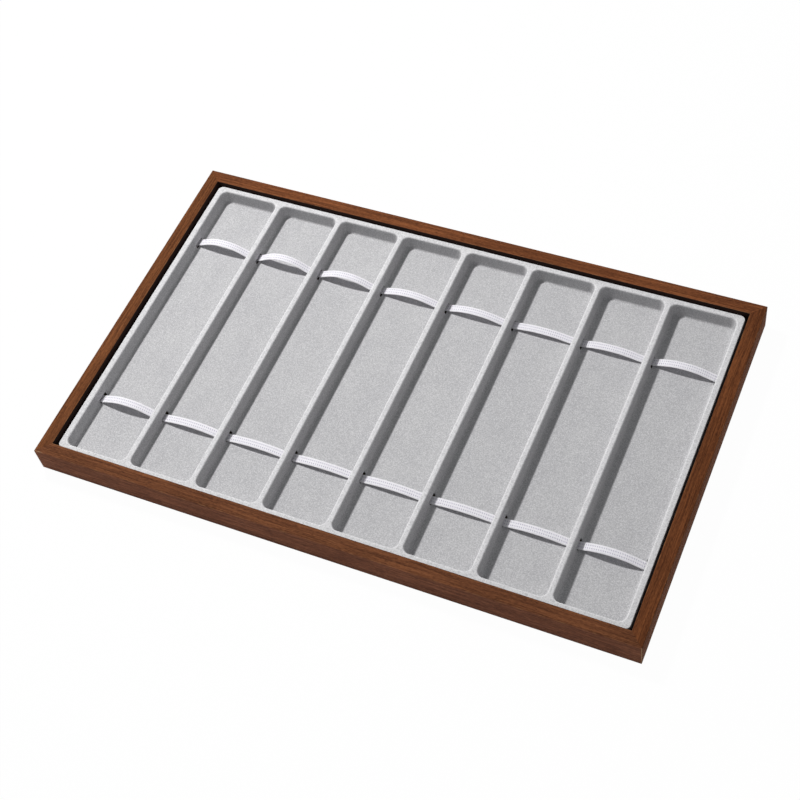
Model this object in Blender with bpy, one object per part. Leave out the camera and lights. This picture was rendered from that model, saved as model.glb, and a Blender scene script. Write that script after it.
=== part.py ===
"""Watch display tray: a mitred wooden frame round a moulded, flocked insert with eight channels.

Each channel is crossed by two elastic straps, whose ends go through slits in the channel's walls.
Metres, +Z up. The origin is the middle of the underside, +X runs along the length, +Y to the back.
"""

import math

import bmesh
import bpy

MM = 0.001

# Whole tray
LENGTH = 400 * MM
WIDTH = 250 * MM
HEIGHT = 20 * MM
CLEARANCE = 0.3 * MM

# Wooden rails, with a groove that holds the base board
RAIL_WIDTH = 8.9 * MM
RAIL_ROUND = 0.5 * MM
GROOVE_DEPTH = 4 * MM

# Base board, set up from the surface that the rails stand on
BOARD_RECESS = 3 * MM
BOARD_THICKNESS = 3 * MM

# Moulded insert: one thin sheet, with a rim, ridges, channels and a skirt
INSERT_GAP_X = 1.7 * MM
INSERT_GAP_Y = 0.6 * MM
INSERT_CORNER = 3.5 * MM
RIM_DROP = 3 * MM
RIM_WIDTH_X = 4 * MM
RIM_WIDTH_Y = 3.5 * MM
SHEET = 1.2 * MM
CHANNELS = 8
RIDGE_WIDTH = 3.6 * MM
CHANNEL_CORNER = 4 * MM
CHANNEL_CORNER_LEAST = 0.8 * MM
DRAFT = math.radians(9)
CREST_ROUND = 0.8 * MM
FOOT_ROUND = 1.6 * MM
ROUND_STEPS = 2
CORNER_STEPS = 4

# Elastic straps, two to a channel, each arched over what lies in it. Rises run from left to right.
STRAP_WIDTH = 6 * MM
STRAP_THICKNESS = 0.9 * MM
STRAP_PLACE = 69.6 * MM
STRAP_RISES = {
    "back": (5.9, 7.4, 6.1, 4.2, 3.7, 2.2, 2.8, 4.2),
    "front": (5.0, 2.7, 2.0, 1.7, 1.8, 1.6, 2.1, 3.9),
}
STRAP_SHOULDER = 0.55
STRAP_ANKLE = 0.75
STRAP_STEPS = 7
STRAP_BEND = 0.9 * MM
BEND_STEPS = 2
SLIT_SILL = 0.35 * MM
SLIT_PLAY = 0.6 * MM
STRIPE_PLACE = 1.0 * MM
STRIPE_WIDTH = 0.5 * MM
STRIPE_DEPTH = 0.15 * MM

# Worked out from the sizes above
BOARD_TOP = BOARD_RECESS + BOARD_THICKNESS
FLOOR_UNDER = BOARD_TOP + CLEARANCE
FLOOR_TOP = FLOOR_UNDER + SHEET
RIM_TOP = HEIGHT - RIM_DROP
RIM_UNDER = RIM_TOP - SHEET
INSERT_LENGTH = LENGTH - 2 * (RAIL_WIDTH + INSERT_GAP_X)
INSERT_WIDTH = WIDTH - 2 * (RAIL_WIDTH + INSERT_GAP_Y)
CHANNEL_PITCH = (INSERT_LENGTH - 2 * RIM_WIDTH_X + RIDGE_WIDTH) / CHANNELS
CHANNEL_WIDTH = CHANNEL_PITCH - RIDGE_WIDTH
CHANNEL_LENGTH = INSERT_WIDTH - 2 * RIM_WIDTH_Y
SLIT_LOW = FLOOR_TOP + SLIT_SILL
STRAP_LOW = SLIT_LOW + CLEARANCE + STRAP_THICKNESS / 2
STRAP_ROWS = {"back": STRAP_PLACE, "front": -STRAP_PLACE}


def clear_scene():
    for item in list(bpy.data.objects):
        bpy.data.objects.remove(item, do_unlink=True)


def material(name, colour, roughness):
    made = bpy.data.materials.new(name)
    made.use_nodes = True
    shader = made.node_tree.nodes["Principled BSDF"]
    shader.inputs["Base Color"].default_value = (*colour, 1)
    shader.inputs["Roughness"].default_value = roughness
    shader.inputs["Metallic"].default_value = 0
    return made


def add_object(name, bm, finish=None):
    """Close off a bmesh as an object whose faces point out."""
    bmesh.ops.recalc_face_normals(bm, faces=bm.faces)
    mesh = bpy.data.meshes.new(name)
    bm.to_mesh(mesh)
    bm.free()
    if finish:
        mesh.materials.append(finish)
    made = bpy.data.objects.new(name, mesh)
    bpy.context.collection.objects.link(made)
    return made


def shade(item, angle=30):
    item.data.shade_smooth()
    item.data.set_sharp_from_angle(angle=math.radians(angle))


def bridge(bm, first, second):
    """Join two rings of as many points with a band of quads."""
    count = len(first)
    for index in range(count):
        after = (index + 1) % count
        bm.faces.new((first[index], first[after], second[after], second[index]))


def ring_edges(bm, ring):
    return [bm.edges.get((ring[index - 1], ring[index])) for index in range(len(ring))]


def arc(centre, radius, start, end, steps):
    points = []
    for step in range(steps + 1):
        angle = start + (end - start) * step / steps
        points.append((centre[0] + radius * math.cos(angle), centre[1] + radius * math.sin(angle)))
    return points


def rounded_rectangle(half_x, half_y, radius):
    """Points round a rectangle with round corners, as many for every size."""
    points = []
    for quarter, (side_x, side_y) in enumerate(((1, 1), (-1, 1), (-1, -1), (1, -1))):
        centre = (side_x * (half_x - radius), side_y * (half_y - radius))
        start = quarter * math.pi / 2
        points += arc(centre, radius, start, start + math.pi / 2, CORNER_STEPS)
    return points


def rail_profile():
    """Section of a rail: distance in from its outer face, and height."""
    right = math.pi / 2
    far = RAIL_WIDTH - RAIL_ROUND
    high = HEIGHT - RAIL_ROUND
    groove = RAIL_WIDTH - GROOVE_DEPTH
    points = arc((RAIL_ROUND, RAIL_ROUND), RAIL_ROUND, -right, -2 * right, ROUND_STEPS)
    points += arc((RAIL_ROUND, high), RAIL_ROUND, 2 * right, right, ROUND_STEPS)
    points += arc((far, high), RAIL_ROUND, right, 0, ROUND_STEPS)
    points += [
        (RAIL_WIDTH, BOARD_TOP + CLEARANCE),
        (groove, BOARD_TOP + CLEARANCE),
        (groove, BOARD_RECESS - CLEARANCE),
        (RAIL_WIDTH, BOARD_RECESS - CLEARANCE),
    ]
    points += arc((far, RAIL_ROUND), RAIL_ROUND, 0, -right, ROUND_STEPS)
    return points


def rail(name, length, location, turn, finish):
    """A grooved rail with mitred ends, its outer face on its origin."""
    bm = bmesh.new()
    back_off = CLEARANCE / math.sqrt(2)
    rings = []
    for end in (-1, 1):
        ring = []
        for inward, height in rail_profile():
            along = end * (length / 2 - inward - back_off)
            ring.append(bm.verts.new((along, inward, height)))
        rings.append(ring)
        bm.faces.new(ring)
    bridge(bm, *rings)
    made = add_object(name, bm, finish)
    made.location = location
    made.rotation_euler.z = turn
    shade(made)
    return made


def box(bm, low, high):
    made = bmesh.ops.create_cube(bm, size=1)
    for vert in made["verts"]:
        for axis in range(3):
            middle = (low[axis] + high[axis]) / 2
            vert.co[axis] = middle + vert.co[axis] * (high[axis] - low[axis])


def base_board(finish):
    bm = bmesh.new()
    reach = GROOVE_DEPTH - RAIL_WIDTH - CLEARANCE
    half_x = LENGTH / 2 + reach
    half_y = WIDTH / 2 + reach
    box(bm, (-half_x, -half_y, BOARD_RECESS), (half_x, half_y, BOARD_TOP))
    return add_object("base_board", bm, finish)


def wall_inset(height):
    """How far a channel's wall has come in from the opening at a height."""
    return (RIM_TOP - height) * math.tan(DRAFT)


def wall_back_inset(height):
    return wall_inset(height) - SHEET / math.cos(DRAFT)


def foot_arc(radius):
    """The round from the wall to the floor, about the centre that both faces of the sheet share."""
    turn = math.pi / 2 - DRAFT
    centre = (wall_inset(FLOOR_TOP) + FOOT_ROUND * math.tan(turn / 2), FLOOR_TOP + FOOT_ROUND)
    return arc(centre, radius, math.pi + DRAFT, 1.5 * math.pi, ROUND_STEPS)


def channel_face():
    """Inset and height down the visible face, from the flat crest to the floor."""
    turn = math.pi / 2 - DRAFT
    centre = (-CREST_ROUND * math.tan(turn / 2), RIM_TOP - CREST_ROUND)
    crest = arc(centre, CREST_ROUND, math.pi / 2, DRAFT, ROUND_STEPS)
    return crest + foot_arc(FOOT_ROUND)


def channel_back():
    """Inset and height down the hidden face, one sheet away from the visible one."""
    return [(wall_back_inset(RIM_UNDER), RIM_UNDER)] + foot_arc(FOOT_ROUND + SHEET)


def channel_centre(index):
    return (index - (CHANNELS - 1) / 2) * CHANNEL_PITCH


def add_ring(bm, centre_x, half_x, half_y, radius, height):
    outline = rounded_rectangle(half_x, half_y, radius)
    return [bm.verts.new((centre_x + x, y, height)) for x, y in outline]


def add_channel(bm, centre_x, section):
    """One face of a channel as rings down its section. Returns the ring at the top."""
    rings = []
    for inset, height in section:
        half_x = CHANNEL_WIDTH / 2 - inset
        half_y = CHANNEL_LENGTH / 2 - inset
        radius = max(CHANNEL_CORNER - inset, CHANNEL_CORNER_LEAST)
        rings.append(add_ring(bm, centre_x, half_x, half_y, radius, height))
        if len(rings) > 1:
            bridge(bm, rings[-2], rings[-1])
    bm.faces.new(rings[-1])
    return rings[0]


def add_skirt(bm, section):
    """One face of the skirt round the insert. Returns its top and bottom rings."""
    rings = []
    for inset, height in section:
        half_x = INSERT_LENGTH / 2 - inset
        half_y = INSERT_WIDTH / 2 - inset
        rings.append(add_ring(bm, 0, half_x, half_y, INSERT_CORNER - inset, height))
        if len(rings) > 1:
            bridge(bm, rings[-2], rings[-1])
    return rings[0], rings[-1]


def fill_level(bm, outer, holes):
    """The flat face between the skirt's ring and the channels' rings."""
    edges = ring_edges(bm, outer)
    for ring in holes:
        edges += ring_edges(bm, ring)
    bmesh.ops.triangle_fill(bm, use_beauty=True, use_dissolve=False, edges=edges, normal=(0, 0, 1))


def insert(finish):
    """The moulded sheet: visible faces, hidden faces and the strip under the skirt."""
    bm = bmesh.new()
    centres = [channel_centre(index) for index in range(CHANNELS)]
    top_round = arc((CREST_ROUND, RIM_TOP - CREST_ROUND), CREST_ROUND, math.pi / 2, math.pi, ROUND_STEPS)
    visible = [add_channel(bm, centre, channel_face()) for centre in centres]
    outer_top, outer_bottom = add_skirt(bm, top_round + [(0, FLOOR_UNDER)])
    hidden = [add_channel(bm, centre, channel_back()) for centre in centres]
    inner_top, inner_bottom = add_skirt(bm, [(SHEET, RIM_UNDER), (SHEET, FLOOR_UNDER)])
    fill_level(bm, outer_top, visible)
    fill_level(bm, inner_top, hidden)
    bridge(bm, outer_bottom, inner_bottom)
    made = add_object("insert", bm, finish)
    cut_slits(made)
    shade(made)
    return made


def strap_line(crown):
    """Half of a strap's middle line, from its crown to its hidden end: distance out, and height."""
    wall_back = CHANNEL_WIDTH / 2 - wall_back_inset(SLIT_LOW)
    reach = wall_back + CLEARANCE + STRAP_THICKNESS / 2
    run = reach - STRAP_BEND
    handles = ((0, crown), (STRAP_SHOULDER * run, crown), (STRAP_ANKLE * run, STRAP_LOW), (run, STRAP_LOW))
    points = []
    for step in range(STRAP_STEPS):
        share = step / STRAP_STEPS
        rest = 1 - share
        weights = (rest ** 3, 3 * rest ** 2 * share, 3 * rest * share ** 2, share ** 3)
        out = sum(weight * handle[0] for weight, handle in zip(weights, handles))
        height = sum(weight * handle[1] for weight, handle in zip(weights, handles))
        points.append((out, height))
    points += arc((run, STRAP_LOW - STRAP_BEND), STRAP_BEND, math.pi / 2, 0, BEND_STEPS)
    points.append((reach, FLOOR_UNDER))
    return points


def offset_line(points, distance):
    """A line beside another one, on its left, joined at the corners."""
    beside = []
    for index, (x, y) in enumerate(points):
        before = points[max(index - 1, 0)]
        after = points[min(index + 1, len(points) - 1)]
        run = math.hypot(after[0] - before[0], after[1] - before[1])
        normal = ((before[1] - after[1]) / run, (after[0] - before[0]) / run)
        beside.append((x + normal[0] * distance, y + normal[1] * distance))
    return beside


def height_at(line, out):
    """Height at which a falling line passes a distance."""
    for (x0, z0), (x1, z1) in zip(line, line[1:]):
        if x0 <= out <= x1 and x1 > x0:
            return z0 + (z1 - z0) * (out - x0) / (x1 - x0)
    return line[-1][1]


def slit_high():
    """High edge of the slits, clear of the highest strap where it reaches the wall."""
    crown = STRAP_LOW + max(max(rises) for rises in STRAP_RISES.values()) * MM
    upper = offset_line(strap_line(crown), STRAP_THICKNESS / 2)
    return height_at(upper, CHANNEL_WIDTH / 2 - wall_inset(FLOOR_TOP)) + CLEARANCE


def cut_slits(item):
    """A slot through each ridge, and through the inner wall only at the two end rims."""
    low, high = SLIT_LOW, slit_high()
    bm = bmesh.new()
    half_y = STRAP_WIDTH / 2 + SLIT_PLAY
    half_ridge = RIDGE_WIDTH / 2 + wall_inset(FLOOR_TOP) + FOOT_ROUND
    end_wall = channel_centre(CHANNELS - 1) + CHANNEL_PITCH / 2 - half_ridge
    skirt_back = INSERT_LENGTH / 2 - SHEET - CLEARANCE
    for row in STRAP_ROWS.values():
        for index in range(CHANNELS - 1):
            ridge = channel_centre(index) + CHANNEL_PITCH / 2
            box(bm, (ridge - half_ridge, row - half_y, low), (ridge + half_ridge, row + half_y, high))
        box(bm, (end_wall, row - half_y, low), (skirt_back, row + half_y, high))
        box(bm, (-skirt_back, row - half_y, low), (-end_wall, row + half_y, high))
    cutter = add_object("slit_cutter", bm)
    cutter.hide_render = True
    cutter.display_type = "WIRE"
    cut = item.modifiers.new("Strap slits", "BOOLEAN")
    cut.operation = "DIFFERENCE"
    cut.object = cutter


def strap_section():
    """Across and up round a strap, with two lengthwise grooves in the face that shows."""
    half = STRAP_WIDTH / 2
    up = STRAP_THICKNESS / 2
    points = [(-half, -up), (half, -up), (half, up)]
    for place in (STRIPE_PLACE, -STRIPE_PLACE):
        points.append((place + STRIPE_WIDTH / 2, up))
        points.append((place, up - STRIPE_DEPTH))
        points.append((place - STRIPE_WIDTH / 2, up))
    points.append((-half, up))
    return points


def strap_mesh(crown):
    """A strap from end to end: up, through the wall, over the channel and down again."""
    half = strap_line(crown)
    whole = [(-out, height) for out, height in reversed(half[1:])] + half
    levels = {up: offset_line(whole, up) for _, up in strap_section()}
    bm = bmesh.new()
    rings = []
    for index in range(len(whole)):
        ring = []
        for across, up in strap_section():
            out, height = levels[up][index]
            ring.append(bm.verts.new((out, across, height)))
        rings.append(ring)
        if len(rings) > 1:
            bridge(bm, rings[-2], rings[-1])
    bm.faces.new(rings[0])
    bm.faces.new(rings[-1])
    return bm


def straps(finish):
    for side, row in STRAP_ROWS.items():
        for index, rise in enumerate(STRAP_RISES[side]):
            strap = add_object(f"strap_{side}_{index + 1}", strap_mesh(STRAP_LOW + rise * MM), finish)
            strap.location = (channel_centre(index), row, 0)
            shade(strap, 40)


def frame(finish):
    quarter = math.pi / 2
    rail("front_rail", LENGTH, (0, -WIDTH / 2, 0), 0, finish)
    rail("back_rail", LENGTH, (0, WIDTH / 2, 0), 2 * quarter, finish)
    rail("right_rail", WIDTH, (LENGTH / 2, 0, 0), quarter, finish)
    rail("left_rail", WIDTH, (-LENGTH / 2, 0, 0), -quarter, finish)


def main():
    clear_scene()
    frame(material("walnut", (0.15, 0.055, 0.028), 0.42))
    base_board(material("board", (0.045, 0.04, 0.038), 0.85))
    insert(material("grey_flock", (0.55, 0.545, 0.555), 0.95))
    straps(material("white_elastic", (0.82, 0.79, 0.86), 0.8))


main()
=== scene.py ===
# %% [markdown]
# # A walnut display tray with eight lined channels
#
# The tray is a shallow walnut frame round one moulded, flocked insert. Elastic straps cross its channels.
# The packed CAD model is the frame of reference here: every piece below goes where the CAD has it, in
# metres, with +Z up and the origin under the middle of the tray. The box round the CAD model is kept and
# printed.

# %% Load the packed tray
import math

import bmesh
import bpy
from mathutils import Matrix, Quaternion, Vector, noise


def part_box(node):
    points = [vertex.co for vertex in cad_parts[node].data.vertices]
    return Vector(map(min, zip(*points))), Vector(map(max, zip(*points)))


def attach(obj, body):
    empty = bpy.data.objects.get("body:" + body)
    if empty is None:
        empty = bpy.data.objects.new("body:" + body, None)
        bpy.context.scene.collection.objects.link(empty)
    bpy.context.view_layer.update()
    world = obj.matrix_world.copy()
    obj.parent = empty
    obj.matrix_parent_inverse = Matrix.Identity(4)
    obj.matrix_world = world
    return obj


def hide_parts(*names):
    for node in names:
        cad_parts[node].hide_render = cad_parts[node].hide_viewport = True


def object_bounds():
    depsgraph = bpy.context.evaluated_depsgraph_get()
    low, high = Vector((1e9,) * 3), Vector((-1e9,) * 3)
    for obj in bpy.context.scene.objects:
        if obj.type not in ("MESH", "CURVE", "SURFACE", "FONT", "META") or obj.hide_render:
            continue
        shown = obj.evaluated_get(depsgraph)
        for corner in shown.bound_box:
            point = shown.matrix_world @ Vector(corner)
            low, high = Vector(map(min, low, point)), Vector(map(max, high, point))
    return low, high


MM = 0.001
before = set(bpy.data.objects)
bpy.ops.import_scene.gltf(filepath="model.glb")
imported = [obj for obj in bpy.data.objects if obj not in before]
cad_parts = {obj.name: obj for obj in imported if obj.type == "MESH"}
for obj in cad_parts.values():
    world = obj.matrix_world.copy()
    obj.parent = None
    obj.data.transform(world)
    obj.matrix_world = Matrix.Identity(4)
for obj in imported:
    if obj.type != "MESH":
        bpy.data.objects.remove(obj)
cad_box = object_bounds()
print("CAD box in mm:", [[round(value / MM, 1) for value in corner] for corner in cad_box])

# %% [markdown]
# ## The camera
#
# A camera is found from straight edges. The outer corners of the frame are known points, and their places
# in the picture give the eye, the lens and the tilt together. The picture looks down at about 55 degrees
# from the front right corner, through a lens of about 68 mm, and is turned 12 degrees about its own axis.
# Pointing the camera with a track quaternion and adding the turn as one more quaternion keeps these
# numbers apart, where three Euler angles would mix them.

# %% Set up the camera
def add_camera(eye, aim, lens, turn):
    """A camera at the eye, looking at the aim, turned about its own axis."""
    camera = bpy.data.objects.new("camera", bpy.data.cameras.new("camera"))
    bpy.context.scene.collection.objects.link(camera)
    camera.location = eye
    camera.rotation_mode = "QUATERNION"
    camera.rotation_quaternion = (aim - eye).to_track_quat("-Z", "Y") @ Quaternion((0, 0, 1), turn)
    camera.data.sensor_width = 36
    camera.data.lens = lens
    bpy.context.scene.camera = camera


eye = Vector((307.44, -474.0, 795.72)) * MM
aim = Vector((2.84, -9.05, 10.0)) * MM
add_camera(eye, aim, 68.47, math.radians(-12.09))
bpy.context.scene.view_settings.view_transform = "Standard"
print("eye to tray in mm:", round((eye - aim).length / MM))

# %% [markdown]
# ## Recipes for finishes
#
# A finish in Blender is a small graph of nodes. The same few steps come back in each: stretch the
# coordinates, make noise, turn it into colours, mix two colours, read a mark that the mesh carries, and
# raise a bump. The class below names those steps, so that a finish reads as a list of what its surface
# does. A value that is a socket is wired, and any other value is set on the socket itself.

# %% Name the steps of a finish
class Recipe:
    """A node graph that grows by one named step at a time."""

    def __init__(self, tree):
        self.tree = tree
        tree.nodes.clear()

    def add(self, kind, values=None, **settings):
        made = self.tree.nodes.new(kind)
        for name, value in settings.items():
            setattr(made, name, value)
        for name, value in (values or {}).items():
            if isinstance(value, bpy.types.NodeSocket):
                self.tree.links.new(value, made.inputs[name])
            else:
                made.inputs[name].default_value = value
        return made

    def stretch(self, vector, scale, shift=(0, 0, 0)):
        values = {"Vector": vector, "Scale": scale, "Location": shift}
        return self.add("ShaderNodeMapping", values).outputs[0]

    def noise(self, vector, scale, detail=2.0, roughness=0.5, distortion=0.0):
        values = {"Vector": vector, "Scale": scale, "Detail": detail}
        values |= {"Roughness": roughness, "Distortion": distortion}
        return self.add("ShaderNodeTexNoise", values).outputs[0]

    def waves(self, vector, scale, direction, distortion=0.0, detail=2.0, detail_scale=1.0):
        values = {"Vector": vector, "Scale": scale, "Distortion": distortion}
        values |= {"Detail": detail, "Detail Scale": detail_scale}
        return self.add("ShaderNodeTexWave", values, bands_direction=direction).outputs[1]

    def marked(self, name):
        return self.add("ShaderNodeAttribute", attribute_name=name).outputs["Fac"]

    def spread(self, value, low, high, to_low=0.0, to_high=1.0):
        """Bring a value from one range to another, and hold it there."""
        values = {0: value, 1: low, 2: high, 3: to_low, 4: to_high}
        return self.add("ShaderNodeMapRange", values).outputs[0]

    def maths(self, operation, first, second=0.0):
        return self.add("ShaderNodeMath", {0: first, 1: second}, operation=operation).outputs[0]

    def mix(self, share, first, second, blend="MIX"):
        values = {0: share, 6: first, 7: second}
        return self.add("ShaderNodeMix", values, data_type="RGBA", blend_type=blend).outputs[2]

    def bump(self, height, strength, distance):
        values = {"Height": height, "Strength": strength, "Distance": distance}
        return self.add("ShaderNodeBump", values).outputs[0]

    def surface(self, values):
        """End the graph in a Principled shader with these values on its sockets."""
        shader = self.add("ShaderNodeBsdfPrincipled", values)
        self.add("ShaderNodeOutputMaterial", {"Surface": shader.outputs[0]})


def colour(red, green, blue):
    return (red, green, blue, 1)


def new_finish(name):
    made = bpy.data.materials.new(name)
    made.use_nodes = True
    return made, Recipe(made.node_tree)


print("steps:", [step for step in vars(Recipe) if not step.startswith("_")])

# %% [markdown]
# ## Floor, background and light
#
# The picture has a plain white background. More light would bleach the pale lining too, so the white is
# made where only the camera finds it: Light Path tells camera, glossy and transmission rays from the rest,
# and those see white of strength 1. The floor shows mostly that white and a share of its own lit surface,
# which keeps the tray's soft shadow.
#
# One round lamp stands high on the left and a little behind, near enough that shadows grow longer to the
# right. It is aimed past the tray's right end, because a lamp is weaker off its own axis: that evens out
# the left and right channels. An even pale sky fills the rest.

# %% Lay the floor and hang the lights
def seen_rays(recipe):
    """1 for camera, glossy and transmission rays, 0 for the rays that carry light between surfaces."""
    path = recipe.add("ShaderNodeLightPath")
    shiny = recipe.maths("MAXIMUM", path.outputs["Is Glossy Ray"], path.outputs["Is Transmission Ray"])
    return recipe.maths("MAXIMUM", path.outputs["Is Camera Ray"], shiny)


def white_sky(fill):
    world = bpy.data.worlds.new("studio")
    world.use_nodes = True
    recipe = Recipe(world.node_tree)
    light = recipe.add("ShaderNodeBackground", {"Color": colour(0.96, 0.98, 1.0), "Strength": fill})
    white = recipe.add("ShaderNodeBackground", {"Color": colour(1, 1, 1), "Strength": 1.0})
    values = {0: seen_rays(recipe), 1: light.outputs[0], 2: white.outputs[0]}
    shown = recipe.add("ShaderNodeMixShader", values)
    recipe.add("ShaderNodeOutputWorld", {"Surface": shown.outputs[0]})
    bpy.context.scene.world = world


def floor_finish(whiteness):
    finish, recipe = new_finish("pale_floor")
    paper = recipe.add("ShaderNodeBsdfDiffuse", {"Color": colour(0.9, 0.9, 0.9)})
    white = recipe.add("ShaderNodeEmission", {"Color": colour(1, 1, 1), "Strength": 1.0})
    share = recipe.maths("MULTIPLY", seen_rays(recipe), whiteness)
    shown = recipe.add("ShaderNodeMixShader", {0: share, 1: paper.outputs[0], 2: white.outputs[0]})
    recipe.add("ShaderNodeOutputMaterial", {"Surface": shown.outputs[0]})
    return finish


def add_floor(half, level):
    bm = bmesh.new()
    bmesh.ops.create_grid(bm, x_segments=8, y_segments=8, size=half)
    mesh = bpy.data.meshes.new("floor")
    bm.to_mesh(mesh)
    bm.free()
    mesh.materials.append(floor_finish(whiteness=0.98))
    floor = bpy.data.objects.new("floor", mesh)
    floor.location.z = level
    bpy.context.scene.collection.objects.link(floor)


def add_lamp(name, place, aim, width, power):
    lamp = bpy.data.objects.new(name, bpy.data.lights.new(name, "AREA"))
    lamp.data.shape = "DISK"
    lamp.data.size = width
    lamp.data.energy = power
    lamp.location = place
    lamp.rotation_euler = (aim - place).to_track_quat("-Z", "Y").to_euler()
    bpy.context.scene.collection.objects.link(lamp)


white_sky(fill=0.25)
add_floor(half=3.0, level=-0.2 * MM)
key_place = Vector((-545, 260, 960)) * MM
key_aim = Vector((450, -130, 0)) * MM
add_lamp("key", key_place, key_aim, width=0.12, power=12.3)
print("key lamp to tray in mm:", round((key_place - aim).length / MM))

# %% [markdown]
# ## From points to a piece
#
# The pieces are built from rings: a closed line of points, then the same line again a little further on,
# with a band of four-sided faces between. Rings suit a rail, a channel wall and a strap alike, and they
# keep the edges where the shape turns. Each piece rides on the tray's one body and stands for the CAD node
# that it replaces.

# %% Helpers for rings, arcs and pieces
def arc(centre, radius, start, end, steps):
    """Points on an arc, from one angle to another."""
    points = []
    for step in range(steps + 1):
        angle = start + (end - start) * step / steps
        points.append((centre[0] + radius * math.cos(angle), centre[1] + radius * math.sin(angle)))
    return points


def bridge(bm, first, second, leave_out=None):
    """Join two rings of as many points with faces, save those that leave_out names by their middle."""
    count = len(first)
    for index in range(count):
        after = (index + 1) % count
        corners = (first[index], first[after], second[after], second[index])
        middle = sum((corner.co for corner in corners), Vector()) / 4
        if leave_out is None or not leave_out(middle):
            bm.faces.new(corners)


def add_piece(name, bm, finish, node):
    mesh = bpy.data.meshes.new(name)
    bm.to_mesh(mesh)
    bm.free()
    mesh.materials.append(finish)
    mesh.shade_smooth()
    piece = bpy.data.objects.new(name, mesh)
    bpy.context.scene.collection.objects.link(piece)
    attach(piece, "root")
    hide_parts(node)
    return piece


quarter = math.pi / 2
print("points on a quarter arc of 6 steps:", len(arc((0, 0), 1, 0, quarter, 6)))

# %% [markdown]
# ## Walnut
#
# Walnut shows three things at once: broad bands of darker and redder wood, fine fibres along the rail, and
# short dark pores. Each is noise stretched along X, because each rail is modelled lying along its own X
# axis, so the grain turns at every mitre as it does on the bench. Flecks break the long lines, and each
# rail comes from its own board, so each has its own tone, a share of red, green and blue. The mesh carries
# marks for the finish: "eased" edges, where the stain is rubbed thin in patches, the "raw" corners of the
# mitres, and two marks of painted light and shade: the outer "face" carries painted light, lightest at the
# front and least on the right, and the inner side is painted near black, as painted shade. The wood is
# oiled rather than varnished, so its specular level is low and its roughness high.

# %% Mix the walnut finish
def walnut(name, shift, tone):
    def wood_colour(*parts):
        return colour(*(share * part for share, part in zip(tone, parts)))

    def drawn_out(vector, times, *noise_values, start=shift):
        """Noise that is so many times as long as it is wide."""
        return recipe.noise(recipe.stretch(vector, (1, times, times), start), *noise_values)

    finish, recipe = new_finish(name)
    place = recipe.add("ShaderNodeTexCoord").outputs["Object"]
    sway = recipe.spread(drawn_out(place, 3, 22.0, 1.0), 0.3, 0.7, -0.6 * MM, 0.6 * MM)
    sideways = recipe.add("ShaderNodeCombineXYZ", {1: sway}).outputs[0]
    bent = recipe.add("ShaderNodeVectorMath", {0: place, 1: sideways}).outputs[0]
    band = drawn_out(bent, 9, 14.0, 3.0, 0.55)
    grain = drawn_out(bent, 32, 40.0, 3.0, 0.55, 0.2)
    streak = drawn_out(bent, 40, 22.0, 2.0, 0.6, start=(shift[0] + 3, shift[1], 0))
    fibre = drawn_out(bent, 45, 70.0, 3.0, 0.6)
    fleck = drawn_out(bent, 5, 380.0, 2.0, 0.6)
    dark_pore = recipe.spread(drawn_out(bent, 10, 260.0, 1.0), 0.62, 0.7, 0.0, 0.7)

    deep, red = wood_colour(0.112, 0.04, 0.016), wood_colour(0.165, 0.06, 0.024)
    wood = recipe.mix(recipe.spread(band, 0.34, 0.66), deep, red)
    layers = [
        (recipe.spread(grain, 0.45, 0.62, 0.0, 0.65), wood_colour(0.055, 0.019, 0.009)),
        (recipe.spread(streak, 0.52, 0.62, 0.0, 0.65), wood_colour(0.235, 0.088, 0.034)),
        (recipe.spread(fibre, 0.5, 0.72, 0.0, 0.35), wood_colour(0.23, 0.096, 0.04)),
        (recipe.spread(fleck, 0.5, 0.68, 0.0, 0.4), wood_colour(0.24, 0.095, 0.038)),
        (recipe.spread(fleck, 0.5, 0.34, 0.0, 0.4), wood_colour(0.055, 0.02, 0.01)),
        (dark_pore, wood_colour(0.03, 0.011, 0.006)),
    ]
    for share, layer in layers:
        wood = recipe.mix(share, wood, layer)
    # Painted light on the outer faces of the rails: lighter and bluer, most at the front, least on the
    # right.
    wood = recipe.mix(recipe.marked("face"), wood, colour(1.5, 1.6, 2.05), "MULTIPLY")

    patch = recipe.spread(recipe.noise(place, 160.0, 3.0), 0.48, 0.62, 0.05, 0.5)
    worn = recipe.maths("MULTIPLY", recipe.marked("eased"), patch)
    wood = recipe.mix(worn, wood, colour(0.34, 0.17, 0.075))
    wood = recipe.mix(recipe.marked("raw"), wood, colour(0.5, 0.33, 0.2))
    # Painted shade: the inner side of the rails, where the gap round the insert sits in shadow, is painted
    # near black.
    wood = recipe.mix(recipe.marked("lacquer"), wood, colour(0.022, 0.012, 0.01))

    height = recipe.maths("SUBTRACT", fibre, recipe.maths("MULTIPLY", dark_pore, 0.8))
    recipe.surface({
        "Base Color": wood,
        "Roughness": recipe.spread(grain, 0.3, 0.7, 0.66, 0.8),
        "Specular IOR Level": 0.04,
        "Normal": recipe.bump(height, 0.5, 0.06 * MM),
    })
    return finish


rail_tones = {
    "front": (1.0, 0.98, 1.04),
    "back": (1.13, 1.02, 0.95),
    "left": (0.96, 0.91, 0.82),
    "right": (0.95, 0.84, 0.74),
}
walnuts = {}
for index, (side, tone) in enumerate(rail_tones.items()):
    walnuts[side] = walnut(f"walnut_{side}", (index * 0.37, index * 0.11, 0), tone)
print("walnut finishes:", sorted(walnuts))

# %% [markdown]
# ## The rails
#
# A rail is one section drawn along a line: 8.9 mm wide and 20 mm high, with a groove that holds the base
# board. The section's long edges are eased with a small round, as a plane and fine paper leave them. The
# ends are cut at 45 degrees, so each point of the section runs out at its own length. All four rails use
# the same section, drawn in finer steps than in the CAD, and the mitres close to a hairline. The noise on
# the eased edges is less than a tenth of a millimetre: enough to break a highlight. Handling has knocked
# the sharp outer corners of the mitres down to pale wood and left two chips on the front rail, so the
# steps along a rail lie close together at its ends. The marks for the finish are written on the points
# here, because the mesh knows best where its edges and its inner side are.

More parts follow.
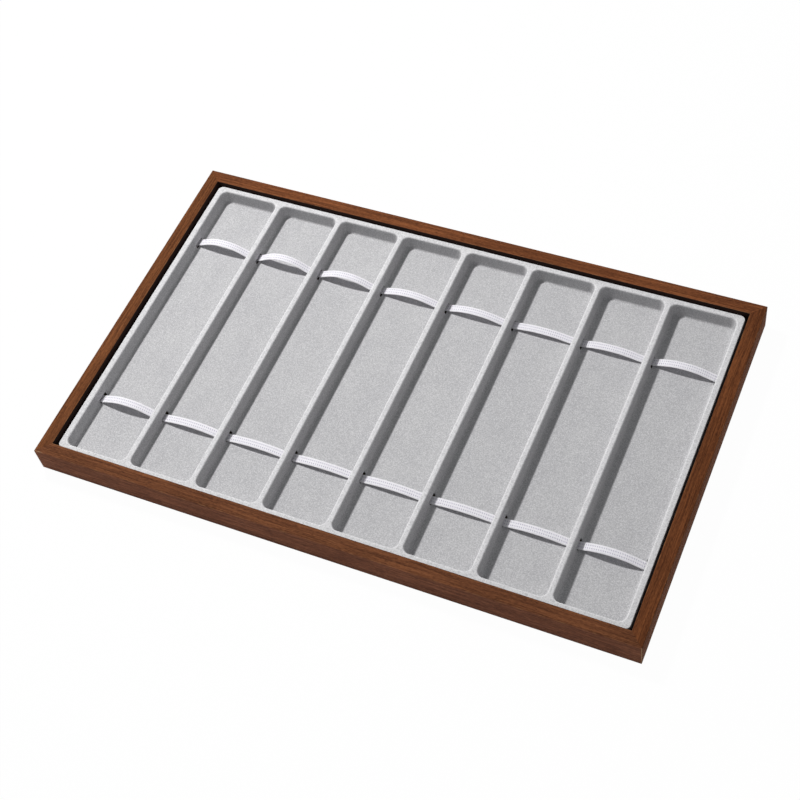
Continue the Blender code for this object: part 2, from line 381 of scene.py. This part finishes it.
# %% Draw the rail section
tray_low, tray_high = cad_box
tray_length = tray_high.x - tray_low.x
tray_width = tray_high.y - tray_low.y
tray_height = tray_high.z
rail_low, rail_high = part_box("front_rail")
rail_width = rail_high.y - rail_low.y
board_low, board_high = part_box("base_board")
board_play = 0.3 * MM
groove_depth = board_high.x - (tray_high.x - rail_width) + board_play
edge_round = 0.5 * MM
round_steps = 4
# How much painted shade each step of the inner rounds takes: the inner side is painted near black as shade.
inner_painted_shade = (0.0, 0.1, 1.0, 1.0, 1.0)
inner_eased = (0.8, 1.0, 0.0, 0.0, 0.0)


def rail_section():
    """Points round a rail's section: distance in from the outer face, height, how eased, how much painted
    shade.
    """
    far = rail_width - edge_round
    high = tray_height - edge_round
    corners = (
        arc((edge_round, edge_round), edge_round, -quarter, -2 * quarter, round_steps),
        arc((edge_round, high), edge_round, 2 * quarter, quarter, round_steps),
        arc((far, high), edge_round, quarter, 0, round_steps),
        arc((far, edge_round), edge_round, 0, -quarter, round_steps),
    )
    groove = [
        (rail_width, board_high.z + board_play),
        (rail_width - groove_depth, board_high.z + board_play),
        (rail_width - groove_depth, board_low.z - board_play),
        (rail_width, board_low.z - board_play),
    ]
    points = []
    for index, corner in enumerate(corners):
        if index == 3:
            points += [(x, z, 0.0, 1.0) for x, z in groove]
        if index == 2:
            points.append((far - edge_round / 2, tray_height, 0.0, 0.0))
        for step, (x, z) in enumerate(corner):
            painted_shade = (0.0, 0.0, inner_painted_shade[step], inner_painted_shade[-1 - step])[index]
            eased = inner_eased[step] if index == 2 else math.sin(math.pi * step / round_steps)
            points.append((x, z, eased * (1 - painted_shade), painted_shade))
    return points


print("rail section:", len(rail_section()), "points, groove", round(groove_depth / MM, 1), "mm deep")

# %% Build the four rails
mitre_gap = 0.03 * MM
end_steps = [0.0, 0.0008, 0.002, 0.006, 0.015]
even_reach, even_count = 0.97, 70
rail_steps = [-1 + step for step in end_steps]
rail_steps += [-even_reach + 2 * even_reach * step / even_count for step in range(even_count + 1)]
rail_steps += [1 - step for step in reversed(end_steps)]
wear, spots_along, spots_across = 0.07 * MM, 90, 400
corner_share, corner_width = 0.999, 0.2 * MM
knocked_ends = {"front": 1, "right": -1}
raw_knocked, raw_faint, raw_chip = 1.0, 0.3, 0.8
chips = (rail_steps[2], rail_steps[4])
# How much painted light each rail's outer face carries: most at the front, least on the right.
face_painted_light = {"front": 1.0, "back": 0.6, "left": 0.6, "right": 0.15}


def worn_in(side, along, inward, height, eased):
    """How far an eased edge has been rubbed down at a place."""
    where = Vector((along * spots_along, inward * spots_across + len(side), height * spots_across))
    return eased * wear * abs(noise.noise(where))


def rawness(side, share, inward, height):
    """How much pale wood shows: a line down each mitre's outer corner, and two chips at the front left."""
    upper_edge = height > tray_height - edge_round and inward < edge_round
    if side == "front" and upper_edge and share in chips:
        return raw_chip
    if inward > corner_width or abs(share) < corner_share:
        return 0.0
    return raw_knocked if knocked_ends.get(side, 0) * share > 0 else raw_faint


def build_rail(side, length, place, turn):
    bm = bmesh.new()
    marks = {mark: bm.verts.layers.float.new(mark) for mark in ("eased", "raw", "lacquer", "face")}
    rings = []
    for share in rail_steps:
        ring = []
        for inward, height, eased, painted_shade in rail_section():
            along = share * (length / 2 - inward - mitre_gap)
            rub = worn_in(side, along, inward, height, eased)
            toward = 1 if inward < rail_width / 2 else -1
            lowered = height - (rub if height > tray_height / 2 else 0)
            vert = bm.verts.new((along, inward + toward * rub, lowered))
            vert[marks["eased"]] = eased
            vert[marks["lacquer"]] = painted_shade
            vert[marks["face"]] = face_painted_light[side] * max(0.0, 1 - inward / edge_round)
            vert[marks["raw"]] = rawness(side, share, inward, height)
            ring.append(vert)
        rings.append(ring)
        if len(rings) > 1:
            bridge(bm, rings[-2], rings[-1])
    bm.faces.new(rings[0])
    bm.faces.new(rings[-1])
    bmesh.ops.recalc_face_normals(bm, faces=bm.faces)
    piece = add_piece(f"walnut_{side}_rail", bm, walnuts[side], f"{side}_rail")
    piece.data.set_sharp_from_angle(angle=math.radians(35))
    piece.location = place
    piece.rotation_euler.z = turn
    return piece


rails = [
    build_rail("front", tray_length, (0, tray_low.y, 0), 0),
    build_rail("back", tray_length, (0, tray_high.y, 0), 2 * quarter),
    build_rail("right", tray_width, (tray_high.x, 0, 0), quarter),
    build_rail("left", tray_width, (tray_low.x, 0, 0), -quarter),
]
print("rails:", [piece.name for piece in rails])

# %% [markdown]
# ## The base board
#
# Under the insert lies a thin hardboard panel, held in the rails' groove. Only a view from below shows it.
# Its CAD shape is already right, a plain flat board, so it stays and only gets a better finish: dark
# pressed fibres in short tangled flecks, with a faint cross weave where the board lay on a screen in the
# press.

# %% Finish the base board
def hardboard():
    finish, recipe = new_finish("hardboard")
    place = recipe.add("ShaderNodeTexCoord").outputs["Object"]
    fleck = recipe.noise(recipe.stretch(place, (1, 2.4, 1)), 480.0, 5.0, 0.7, 1.2)
    cloud = recipe.noise(place, 26.0, 3.0)
    screen = recipe.maths("MULTIPLY", recipe.waves(place, 110.0, "X"), recipe.waves(place, 110.0, "Y"))
    dark, pale = colour(0.045, 0.03, 0.022), colour(0.075, 0.05, 0.036)
    pulp = recipe.mix(recipe.spread(cloud, 0.35, 0.65), dark, pale)
    pulp = recipe.mix(recipe.spread(fleck, 0.5, 0.75, 0.0, 0.6), pulp, colour(0.13, 0.09, 0.062))
    recipe.surface({
        "Base Color": pulp,
        "Roughness": recipe.spread(fleck, 0.3, 0.7, 0.7, 0.9),
        "Specular IOR Level": 0.25,
        "Normal": recipe.bump(recipe.maths("ADD", screen, fleck), 0.4, 0.12 * MM),
    })
    return finish


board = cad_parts["base_board"]
board.material_slots[0].material = hardboard()
print("base board in mm:", [round(value / MM, 1) for value in board_high - board_low])

# %% [markdown]
# ## Flock
#
# The insert is a moulded sheet sprayed with flock: millions of fibres shorter than half a millimetre that
# stand on glue. Close by it is a fine salt and pepper speckle. From further off it is a soft grey with
# faint clouds where the fibres lean another way. Noise at three scales gives fibres, tufts and clouds. A
# little sheen lifts the surface where it turns away, as standing fibres do. The "crest" mark paints light
# on the rim and the tops of the ridges, which are lighter than the sunk floors as if they caught more
# light, and lightest on their rounds, which is a painted highlight.

# %% Mix the flock finish
def flock():
    finish, recipe = new_finish("grey_flock")
    place = recipe.add("ShaderNodeTexCoord").outputs["Object"]
    fibre = recipe.noise(place, 1500.0, 2.0, 0.65)
    tuft = recipe.noise(place, 620.0, 3.0, 0.6)
    nap = recipe.noise(recipe.stretch(place, (1.6, 1, 1)), 45.0, 3.0, 0.55)
    dark, pale = colour(0.485, 0.48, 0.49), colour(0.535, 0.53, 0.535)
    grey = recipe.mix(recipe.spread(nap, 0.3, 0.7), dark, pale)
    # Painted light: the rim and ridge tops lighter than the sunk floors, lightest on their rounds as a
    # painted highlight.
    crest = recipe.maths("MULTIPLY", recipe.marked("crest"), 0.95)
    grey = recipe.mix(crest, grey, colour(0.82, 0.81, 0.815))
    grey = recipe.mix(recipe.spread(tuft, 0.38, 0.62, 0.0, 0.26), grey, colour(0.37, 0.365, 0.38))
    grey = recipe.mix(recipe.spread(fibre, 0.5, 0.64, 0.0, 0.52), grey, colour(0.76, 0.75, 0.76))
    grey = recipe.mix(recipe.spread(fibre, 0.5, 0.36, 0.0, 0.42), grey, colour(0.3, 0.3, 0.31))
    recipe.surface({
        "Base Color": grey,
        "Roughness": recipe.spread(tuft, 0.3, 0.7, 0.88, 1.0),
        "Specular IOR Level": 0.1,
        "Sheen Weight": 0.12,
        "Sheen Roughness": 0.6,
        "Normal": recipe.bump(recipe.maths("ADD", fibre, tuft), 0.45, 0.15 * MM),
    })
    return finish


lining = flock()
print("flock nodes:", len(lining.node_tree.nodes))

# %% [markdown]
# ## The moulded insert
#
# The insert is one sheet drawn over a mould: a rim, seven ridges, eight channels with walls that lean
# out by 9 degrees, and a skirt round the edge. Every corner has the round that a warm sheet takes. Its
# visible face is built as rings down each channel, from the flat crest to the flat floor, and the crests
# are filled in between. A ring on the flat just beside each round keeps the shading of the flats level.
# The Solidify modifier then gives the sheet its thickness, and slits are left where faces are left out. A
# slit reaches a little further towards the middle of the tray than its strap, which shows as a dark notch.

# %% Write down the insert's sizes
insert_low, insert_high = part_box("insert")
insert_half_x = (insert_high.x - insert_low.x) / 2
insert_half_y = (insert_high.y - insert_low.y) / 2
rim_top = insert_high.z
hem = insert_low.z
floor_top = hem + 1.2 * MM
sheet = 0.7 * MM
channels = 8
ridge_width = 3.6 * MM
rim_width_x = 4.0 * MM
rim_width_y = 3.5 * MM
pitch = (2 * (insert_half_x - rim_width_x) + ridge_width) / channels
channel_half_x = (pitch - ridge_width) / 2
channel_half_y = insert_half_y - rim_width_y
channel_corner, corner_shrink = 4.6 * MM, 0.75
skirt_corner = 3.5 * MM
corner_steps, crest_steps, foot_steps = 8, 6, 8
draft = math.radians(9)
crest_round = 1.15 * MM
shoulder_round = 0.6 * MM
foot_round = 1.6 * MM
crest_margin, foot_margin = 0.25 * MM, 0.5 * MM
strap_rows = {}
for side in ("back", "front"):
    strap_rows[side] = sum(corner.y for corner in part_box(f"strap_{side}_1")) / 2
slit_half = 4.0 * MM
slit_shift = 0.8 * MM
slit_rows = [row - math.copysign(slit_shift, row) for row in strap_rows.values()]
slit_low, slit_high = 7.85 * MM, 10.3 * MM
centres = [(index - (channels - 1) / 2) * pitch for index in range(channels)]
print("channel in mm:", round(2 * channel_half_x / MM, 1), "x", round(2 * channel_half_y / MM, 1))

# %% Draw the section of a channel
wall_heights = (14.5 * MM, 12.8 * MM, slit_high, slit_low)


def cut_at(section, height):
    """The section with one more point where it passes a height."""
    for index, (above, below) in enumerate(zip(section, section[1:])):
        if above[1] > height > below[1]:
            share = (above[1] - height) / (above[1] - below[1])
            inset = above[0] + share * (below[0] - above[0])
            return section[:index + 1] + [(inset, height)] + section[index + 1:]
    return section


def channel_section():
    """Inset from the opening and height, from the flat crest down the wall to the flat floor."""
    turn = quarter - draft
    half_turn = math.tan(turn / 2)
    foot_inset = (rim_top - floor_top) * math.tan(draft) + foot_round * half_turn
    crest = arc((-crest_round * half_turn, rim_top - crest_round), crest_round, quarter, draft, crest_steps)
    lean = 2 * quarter + draft
    foot = arc((foot_inset, floor_top + foot_round), foot_round, lean, 3 * quarter, foot_steps)
    start = (crest[0][0] - crest_margin, rim_top)
    end = (foot[-1][0] + foot_margin, floor_top)
    section = [start] + crest + foot + [end]
    for height in wall_heights:
        section = cut_at(section, height)
    return section


print("channel section:", len(channel_section()), "points")

# %% Draw the outline of a channel
stop_spacing, stop_clear = 13 * MM, 3 * MM
end_shares = (-0.5, -0.2, 0.2, 0.5)


def side_stops():
    """Places along a long wall: the ends of the slits, and steps between them."""
    stops = [row + end * slit_half for row in slit_rows for end in (-1, 1)]
    most = math.floor(channel_half_y / stop_spacing)
    for step in range(-most, most + 1):
        place = step * stop_spacing
        if all(abs(place - stop) > stop_clear for stop in stops):
            stops.append(place)
    return sorted(stops)


def channel_outline(inset):
    half_x = channel_half_x - inset
    half_y = channel_half_y - inset
    radius = channel_corner - corner_shrink * inset
    stops = side_stops()
    ends = [half_x * share for share in end_shares]
    points = [(half_x, y) for y in stops]
    points += arc((half_x - radius, half_y - radius), radius, 0, quarter, corner_steps)
    points += [(x, half_y) for x in reversed(ends)]
    points += arc((radius - half_x, half_y - radius), radius, quarter, 2 * quarter, corner_steps)
    points += [(-half_x, y) for y in reversed(stops)]
    points += arc((radius - half_x, radius - half_y), radius, 2 * quarter, 3 * quarter, corner_steps)
    points += [(x, -half_y) for x in ends]
    points += arc((half_x - radius, radius - half_y), radius, 3 * quarter, 4 * quarter, corner_steps)
    return points


print("channel outline:", len(channel_outline(0)), "points")

# %% Build the insert
def in_slit(middle):
    near = any(abs(middle.y - row) < slit_half for row in slit_rows)
    return near and slit_low < middle.z < slit_high


def add_ring(bm, points, centre_x, height):
    return [bm.verts.new((centre_x + x, y, height)) for x, y in points]


def skirt_outline(inset):
    half_x, half_y, radius = insert_half_x - inset, insert_half_y - inset, skirt_corner - inset
    points = []
    for turn, (side_x, side_y) in enumerate(((1, 1), (-1, 1), (-1, -1), (1, -1))):
        centre = (side_x * (half_x - radius), side_y * (half_y - radius))
        points += arc(centre, radius, turn * quarter, (turn + 1) * quarter, corner_steps)
    return points


flat_share, flat_normal = 0.22, 0.99


def paint_light_on_crest(bm, crest):
    """Paint light on the rim and the tops of the ridges: a painted highlight most on the rounds, less on
    the flats.
    """
    for vert in bm.verts:
        if vert.co.z > rim_top - crest_round:
            up = vert.normal.z
            vert[crest] = max(0.0, min(1.0, 2.0 * up)) - (flat_share if up > flat_normal else 0)


def insert_mesh():
    bm = bmesh.new()
    crest = bm.verts.layers.float.new("crest")
    section = channel_section()
    tops = []
    for centre_x in centres:
        rings = [add_ring(bm, channel_outline(inset), centre_x, height) for inset, height in section]
        for above, below in zip(rings, rings[1:]):
            bridge(bm, above, below, in_slit)
        bm.faces.new(rings[-1])
        tops.append(rings[0])
    middle = (shoulder_round, rim_top - shoulder_round)
    shoulder = arc(middle, shoulder_round, quarter, 2 * quarter, crest_steps)
    section = [(shoulder[0][0] + crest_margin, rim_top)] + shoulder + [(0, hem)]
    rings = [add_ring(bm, skirt_outline(inset), 0, height) for inset, height in section]
    for above, below in zip(rings, rings[1:]):
        bridge(bm, above, below)
    edges = []
    for ring in tops + [rings[0]]:
        edges += [bm.edges.get((ring[index - 1], ring[index])) for index in range(len(ring))]
    bmesh.ops.triangle_fill(bm, use_beauty=True, use_dissolve=False, edges=edges, normal=(0, 0, 1))
    bmesh.ops.recalc_face_normals(bm, faces=bm.faces)
    bm.normal_update()
    if sum(face.normal.z * face.calc_area() for face in bm.faces) < 0:
        bmesh.ops.reverse_faces(bm, faces=bm.faces)
        bm.normal_update()
    paint_light_on_crest(bm, crest)
    return bm


def settle(piece, sharp):
    """Apply the piece's modifiers, then mark its sharp edges."""
    shown = piece.evaluated_get(bpy.context.evaluated_depsgraph_get())
    mesh = bpy.data.meshes.new_from_object(shown)
    piece.modifiers.clear()
    piece.data = mesh
    mesh.shade_smooth()
    mesh.set_sharp_from_angle(angle=math.radians(sharp))


insert = add_piece("flocked_insert", insert_mesh(), lining, "insert")
thicken = insert.modifiers.new("sheet", "SOLIDIFY")
thicken.thickness = sheet
thicken.offset = -1
thicken.use_even_offset = True
settle(insert, sharp=50)
print("insert faces:", len(insert.data.polygons))

# %% [markdown]
# ## Woven elastic
#
# The straps are flat white elastic, woven with a faint lilac brightener. Two lengthwise lines divide the
# face into three bands, and the yarn crosses each band on a slant. The pattern has to follow the strap
# over its arch, so it is drawn on a UV map that the mesh code fills with millimetres along and across,
# instead of on coordinates in space. Light also travels a few millimetres inside the yarn, so the end that
# lies in the shadow of the wall isn't cut off sharply: that is what the subsurface values are for.

# %% Mix the elastic finish
line_place = 1.0 * MM


def elastic():
    finish, recipe = new_finish("white_elastic")
    place = recipe.add("ShaderNodeUVMap", uv_map="weave").outputs[0]
    leaning = recipe.stretch(place, (1.0, 0.7, 1))
    slant = recipe.waves(leaning, 0.45, "DIAGONAL", distortion=0.4, detail=1.0, detail_scale=2.0)
    cord = recipe.waves(place, 0.48, "Y", distortion=0.2)
    fuzz = recipe.noise(place, 5.0, 3.0, 0.6)
    across = recipe.maths("ABSOLUTE", recipe.add("ShaderNodeSeparateXYZ", {0: place}).outputs[1])
    from_line = recipe.maths("ABSOLUTE", recipe.maths("SUBTRACT", across, line_place / MM))
    line = recipe.spread(from_line, 0.6, 0.25)
    dash = recipe.maths("MULTIPLY", line, recipe.spread(slant, 0.4, 0.75))
    dark, pale = colour(0.865, 0.835, 0.895), colour(0.925, 0.9, 0.945)
    yarn = recipe.mix(recipe.spread(fuzz, 0.35, 0.65), dark, pale)
    yarn = recipe.mix(recipe.spread(slant, 0.3, 0.0, 0.0, 0.22), yarn, colour(0.66, 0.63, 0.72))
    yarn = recipe.mix(recipe.maths("MULTIPLY", dash, 0.8), yarn, colour(0.42, 0.39, 0.5))
    height = recipe.maths("ADD", recipe.maths("MULTIPLY", slant, 0.6), recipe.maths("MULTIPLY", cord, 0.5))
    height = recipe.maths("SUBTRACT", height, dash)
    recipe.surface({
        "Base Color": yarn,
        "Roughness": recipe.spread(slant, 0.0, 1.0, 0.7, 0.85),
        "Specular IOR Level": 0.2,
        "Subsurface Weight": 0.6,
        "Subsurface Radius": (1.0, 0.95, 1.0),
        "Subsurface Scale": 2.5 * MM,
        "Sheen Weight": 0.15,
        "Sheen Roughness": 0.5,
        "Normal": recipe.bump(height, 0.5, 0.1 * MM),
    })
    return finish


woven = elastic()
print("elastic nodes:", len(woven.node_tree.nodes))

# %% [markdown]
# ## The straps
#
# Each strap comes out of a slit low in one wall, arches over the channel and goes into the opposite slit.
# The arch is a Bezier curve, level at its crown and upright at its hidden ends, with the section of the
# band drawn along it: thin, with soft edges and two woven-in lines. The straps don't all stand alike, so
# each takes the height of its crown from the CAD strap that it stands for.

# %% Draw the section of a strap
strap_half = 2.8 * MM
strap_thick = 0.9 * MM
line_width, line_depth = 0.2 * MM, 0.1 * MM
top_steps, under_steps = 32, 10


def fullness(across):
    """Half the band's thickness at a share of its half width: even, and soft at the edges."""
    return strap_thick / 2 * (1 - abs(across) ** 6) ** 0.5


def strap_section():
    """Across and up, round the band, with two shallow lines along the face that shows."""
    points = []
    for step in range(top_steps + 1):
        across = -math.cos(math.pi * step / top_steps)
        place = across * strap_half
        dent = sum(math.exp(-((place - line) / line_width) ** 2) for line in (line_place, -line_place))
        points.append((place, fullness(across) - line_depth * dent))
    for step in range(under_steps - 1, 0, -1):
        across = -math.cos(math.pi * step / under_steps)
        points.append((across * strap_half, -fullness(across)))
    return points


print("strap section:", len(strap_section()), "points")

# %% Draw the line of a strap
strap_reach = 22.12 * MM
strap_bend = 0.9 * MM
strap_run = strap_reach - strap_bend
strap_play = 0.3 * MM
strap_low = slit_low + strap_play + strap_thick / 2
arch_steps, bend_steps = 36, 5
shoulder_place, ankle_place, ankle_rise = 0.55, 0.76, 0.1


def bezier(handles, share):
    rest = 1 - share
    weights = (rest ** 3, 3 * rest ** 2 * share, 3 * rest * share ** 2, share ** 3)
    return [sum(weight * handle[axis] for weight, handle in zip(weights, handles)) for axis in (0, 1)]


def strap_line(crown):
    """Half of a strap's middle line, from its crown to its hidden end: distance out, and height."""
    rise = crown - strap_low
    shoulder = (shoulder_place * strap_run, crown)
    ankle = (ankle_place * strap_run, strap_low + ankle_rise * rise)
    handles = ((0, crown), shoulder, ankle, (strap_run, strap_low))
    points = [bezier(handles, step / arch_steps) for step in range(arch_steps)]
    points += arc((strap_run, strap_low - strap_bend), strap_bend, quarter, 0, bend_steps)
    return points + [(strap_reach, hem)]


print("strap rows in mm:", {side: round(row / MM, 1) for side, row in strap_rows.items()})

# %% Build the straps
def strap_mesh(centre_x, row, crown):
    half = strap_line(crown)
    line = [(-out, height) for out, height in reversed(half[1:])] + half
    section = strap_section()
    bm = bmesh.new()
    weave = bm.loops.layers.uv.new("weave")
    rings, place, run = [], {}, 0.0
    for index, (out, height) in enumerate(line):
        before, after = line[max(index - 1, 0)], line[min(index + 1, len(line) - 1)]
        along = Vector((after[0] - before[0], 0, after[1] - before[1])).normalized()
        up = Vector((-along.z, 0, along.x))
        run += math.dist(line[index - 1], line[index]) if index else 0
        middle = Vector((centre_x + out, row, height))
        ring = [bm.verts.new(middle + Vector((0, across, 0)) + up * rise) for across, rise in section]
        place.update({vert: (run / MM, across / MM) for vert, (across, rise) in zip(ring, section)})
        if rings:
            bridge(bm, rings[-1], ring)
        rings.append(ring)
    bm.faces.new(rings[0])
    bm.faces.new(rings[-1])
    for face in bm.faces:
        for loop in face.loops:
            loop[weave].uv = place[loop.vert]
    bmesh.ops.recalc_face_normals(bm, faces=bm.faces)
    return bm


straps = []
for side, row in strap_rows.items():
    for index, centre_x in enumerate(centres):
        node = f"strap_{side}_{index + 1}"
        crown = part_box(node)[1].z - strap_thick / 2
        band = strap_mesh(centre_x, row, crown)
        strap = add_piece(f"elastic_{side}_{index + 1}", band, woven, node)
        strap.data.set_sharp_from_angle(angle=math.radians(60))
        straps.append(strap)
print("straps:", len(straps), "with", len(straps[0].data.polygons), "faces each")

# %% [markdown] ## The sizes The dressed tray has to fill the same box
# as the CAD tray.
